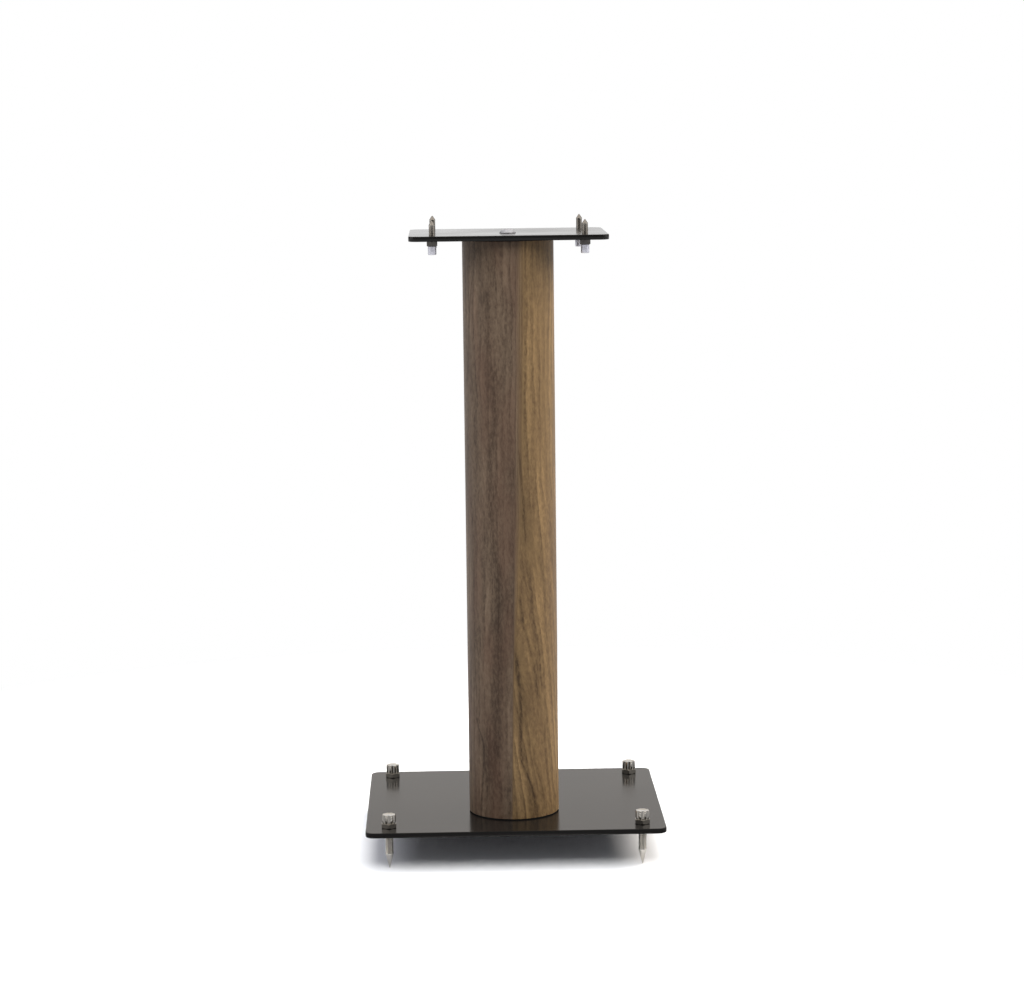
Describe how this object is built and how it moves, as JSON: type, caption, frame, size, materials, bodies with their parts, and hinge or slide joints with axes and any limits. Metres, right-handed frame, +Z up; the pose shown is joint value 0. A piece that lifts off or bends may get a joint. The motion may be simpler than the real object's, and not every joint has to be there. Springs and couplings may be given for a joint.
{
  "type": "speaker stand",
  "caption": "Loudspeaker stand with a round wood-veneered column between coated steel plates, adjustable floor spikes and upward speaker spikes.",
  "frame": {"origin": "on the floor at the spike points, under the middle of the base plate", "axes": "+Z up along the column, +X to the right, -Y to the front, the side that the column stands nearer to"},
  "size_m": [0.29, 0.25, 0.622],
  "materials": {
    "coated_steel": "satin black powder coat over steel plate",
    "walnut_veneer": "satin-lacquered walnut veneer, grain upright",
    "fibreboard": "bare wound fibreboard tube",
    "hardwood_block": "bare turned hardwood",
    "gasket_rubber": "matt black sheet rubber",
    "brass_insert": "plain turned brass",
    "polished_nickel": "polished nickel plate over steel",
    "bright_zinc_steel": "bright zinc plate over steel",
    "dark_nickel": "dark nickel plate over steel",
    "black_screw_steel": "black oxide steel"
  },
  "bodies": {
    "stand": {"base_plate": "coated_steel", "top_plate": "coated_steel", "column_core": "fibreboard", "column_veneer": "walnut_veneer", "foot_gasket": "gasket_rubber", "head_gasket": "gasket_rubber", "foot_block": "hardwood_block", "head_block": "hardwood_block", "head_insert": "brass_insert", "top_bolt": "bright_zinc_steel", "foot_screw_front_left": "black_screw_steel", "foot_insert_front_left": "brass_insert", "foot_screw_front_right": "black_screw_steel", "foot_insert_front_right": "brass_insert", "foot_screw_rear_left": "black_screw_steel", "foot_insert_rear_left": "brass_insert", "foot_screw_rear_right": "black_screw_steel", "foot_insert_rear_right": "brass_insert"},
    "floor_spike_front_left_travel": {"floor_spike_front_left": "polished_nickel"},
    "floor_spike_front_left_head": {"floor_head_front_left": "polished_nickel"},
    "floor_nut_front_left_turn": {"floor_nut_front_left": "polished_nickel"},
    "floor_spike_front_right_travel": {"floor_spike_front_right": "polished_nickel"},
    "floor_spike_front_right_head": {"floor_head_front_right": "polished_nickel"},
    "floor_nut_front_right_turn": {"floor_nut_front_right": "polished_nickel"},
    "floor_spike_rear_left_travel": {"floor_spike_rear_left": "polished_nickel"},
    "floor_spike_rear_left_head": {"floor_head_rear_left": "polished_nickel"},
    "floor_nut_rear_left_turn": {"floor_nut_rear_left": "polished_nickel"},
    "floor_spike_rear_right_travel": {"floor_spike_rear_right": "polished_nickel"},
    "floor_spike_rear_right_head": {"floor_head_rear_right": "polished_nickel"},
    "floor_nut_rear_right_turn": {"floor_nut_rear_right": "polished_nickel"},
    "speaker_spike_front_left_travel": {"speaker_spike_front_left": "bright_zinc_steel"},
    "speaker_spike_front_left_head": {"speaker_head_front_left": "bright_zinc_steel"},
    "speaker_nut_front_left_turn": {"speaker_nut_front_left": "dark_nickel"},
    "speaker_spike_front_right_travel": {"speaker_spike_front_right": "bright_zinc_steel"},
    "speaker_spike_front_right_head": {"speaker_head_front_right": "bright_zinc_steel"},
    "speaker_nut_front_right_turn": {"speaker_nut_front_right": "dark_nickel"},
    "speaker_spike_rear_left_travel": {"speaker_spike_rear_left": "bright_zinc_steel"},
    "speaker_spike_rear_left_head": {"speaker_head_rear_left": "bright_zinc_steel"},
    "speaker_nut_rear_left_turn": {"speaker_nut_rear_left": "dark_nickel"},
    "speaker_spike_rear_right_travel": {"speaker_spike_rear_right": "bright_zinc_steel"},
    "speaker_spike_rear_right_head": {"speaker_head_rear_right": "bright_zinc_steel"},
    "speaker_nut_rear_right_turn": {"speaker_nut_rear_right": "dark_nickel"}
  },
  "joints": [
    {"name": "floor_spike_front_left_slide", "type": "slide", "parent": "stand", "child": "floor_spike_front_left_travel", "axis": [0, 0, 1], "range_m": [0, 0.01]},
    {"name": "floor_spike_front_left_screw", "type": "hinge", "parent": "floor_spike_front_left_travel", "child": "floor_spike_front_left_head", "pos_m": [-0.1225, -0.1025, 0.049], "axis": [0, 0, 1], "range_deg": [0, 2880]},
    {"name": "floor_nut_front_left_loosen", "type": "hinge", "parent": "stand", "child": "floor_nut_front_left_turn", "pos_m": [-0.1225, -0.1025, 0.0425], "axis": [0, 0, 1], "range_deg": [0, 60]},
    {"name": "floor_spike_front_right_slide", "type": "slide", "parent": "stand", "child": "floor_spike_front_right_travel", "axis": [0, 0, 1], "range_m": [0, 0.01]},
    {"name": "floor_spike_front_right_screw", "type": "hinge", "parent": "floor_spike_front_right_travel", "child": "floor_spike_front_right_head", "pos_m": [0.1225, -0.1025, 0.049], "axis": [0, 0, 1], "range_deg": [0, 2880]},
    {"name": "floor_nut_front_right_loosen", "type": "hinge", "parent": "stand", "child": "floor_nut_front_right_turn", "pos_m": [0.1225, -0.1025, 0.0425], "axis": [0, 0, 1], "range_deg": [0, 60]},
    {"name": "floor_spike_rear_left_slide", "type": "slide", "parent": "stand", "child": "floor_spike_rear_left_travel", "axis": [0, 0, 1], "range_m": [0, 0.01]},
    {"name": "floor_spike_rear_left_screw", "type": "hinge", "parent": "floor_spike_rear_left_travel", "child": "floor_spike_rear_left_head", "pos_m": [-0.1225, 0.1025, 0.049], "axis": [0, 0, 1], "range_deg": [0, 2880]},
    {"name": "floor_nut_rear_left_loosen", "type": "hinge", "parent": "stand", "child": "floor_nut_rear_left_turn", "pos_m": [-0.1225, 0.1025, 0.0425], "axis": [0, 0, 1], "range_deg": [0, 60]},
    {"name": "floor_spike_rear_right_slide", "type": "slide", "parent": "stand", "child": "floor_spike_rear_right_travel", "axis": [0, 0, 1], "range_m": [0, 0.01]},
    {"name": "floor_spike_rear_right_screw", "type": "hinge", "parent": "floor_spike_rear_right_travel", "child": "floor_spike_rear_right_head", "pos_m": [0.1225, 0.1025, 0.049], "axis": [0, 0, 1], "range_deg": [0, 2880]},
    {"name": "floor_nut_rear_right_loosen", "type": "hinge", "parent": "stand", "child": "floor_nut_rear_right_turn", "pos_m": [0.1225, 0.1025, 0.0425], "axis": [0, 0, 1], "range_deg": [0, 60]},
    {"name": "speaker_spike_front_left_slide", "type": "slide", "parent": "stand", "child": "speaker_spike_front_left_travel", "axis": [0, 0, 1], "range_m": [-0.006, 0]},
    {"name": "speaker_spike_front_left_screw", "type": "hinge", "parent": "speaker_spike_front_left_travel", "child": "speaker_spike_front_left_head", "pos_m": [-0.0725, -0.079, 0.594], "axis": [0, 0, 1], "range_deg": [-2160, 0]},
    {"name": "speaker_nut_front_left_loosen", "type": "hinge", "parent": "stand", "child": "speaker_nut_front_left_turn", "pos_m": [-0.0725, -0.079, 0.6005], "axis": [0, 0, 1], "range_deg": [-60, 0]},
    {"name": "speaker_spike_front_right_slide", "type": "slide", "parent": "stand", "child": "speaker_spike_front_right_travel", "axis": [0, 0, 1], "range_m": [-0.006, 0]},
    {"name": "speaker_spike_front_right_screw", "type": "hinge", "parent": "speaker_spike_front_right_travel", "child": "speaker_spike_front_right_head", "pos_m": [0.0725, -0.079, 0.594], "axis": [0, 0, 1], "range_deg": [-2160, 0]},
    {"name": "speaker_nut_front_right_loosen", "type": "hinge", "parent": "stand", "child": "speaker_nut_front_right_turn", "pos_m": [0.0725, -0.079, 0.6005], "axis": [0, 0, 1], "range_deg": [-60, 0]},
    {"name": "speaker_spike_rear_left_slide", "type": "slide", "parent": "stand", "child": "speaker_spike_rear_left_travel", "axis": [0, 0, 1], "range_m": [-0.006, 0]},
    {"name": "speaker_spike_rear_left_screw", "type": "hinge", "parent": "speaker_spike_rear_left_travel", "child": "speaker_spike_rear_left_head", "pos_m": [-0.0725, 0.039, 0.594], "axis": [0, 0, 1], "range_deg": [-2160, 0]},
    {"name": "speaker_nut_rear_left_loosen", "type": "hinge", "parent": "stand", "child": "speaker_nut_rear_left_turn", "pos_m": [-0.0725, 0.039, 0.6005], "axis": [0, 0, 1], "range_deg": [-60, 0]},
    {"name": "speaker_spike_rear_right_slide", "type": "slide", "parent": "stand", "child": "speaker_spike_rear_right_travel", "axis": [0, 0, 1], "range_m": [-0.006, 0]},
    {"name": "speaker_spike_rear_right_screw", "type": "hinge", "parent": "speaker_spike_rear_right_travel", "child": "speaker_spike_rear_right_head", "pos_m": [0.0725, 0.039, 0.594], "axis": [0, 0, 1], "range_deg": [-2160, 0]},
    {"name": "speaker_nut_rear_right_loosen", "type": "hinge", "parent": "stand", "child": "speaker_nut_rear_right_turn", "pos_m": [0.0725, 0.039, 0.6005], "axis": [0, 0, 1], "range_deg": [-60, 0]}
  ],
  "couplings": [
    {"joint": "floor_spike_front_left_screw", "follows": "floor_spike_front_left_slide", "rad_per_m": 5026.5},
    {"joint": "floor_spike_front_right_screw", "follows": "floor_spike_front_right_slide", "rad_per_m": 5026.5},
    {"joint": "floor_spike_rear_left_screw", "follows": "floor_spike_rear_left_slide", "rad_per_m": 5026.5},
    {"joint": "floor_spike_rear_right_screw", "follows": "floor_spike_rear_right_slide", "rad_per_m": 5026.5},
    {"joint": "speaker_spike_front_left_screw", "follows": "speaker_spike_front_left_slide", "rad_per_m": 6283.2},
    {"joint": "speaker_spike_front_right_screw", "follows": "speaker_spike_front_right_slide", "rad_per_m": 6283.2},
    {"joint": "speaker_spike_rear_left_screw", "follows": "speaker_spike_rear_left_slide", "rad_per_m": 6283.2},
    {"joint": "speaker_spike_rear_right_screw", "follows": "speaker_spike_rear_right_slide", "rad_per_m": 6283.2}
  ]
}
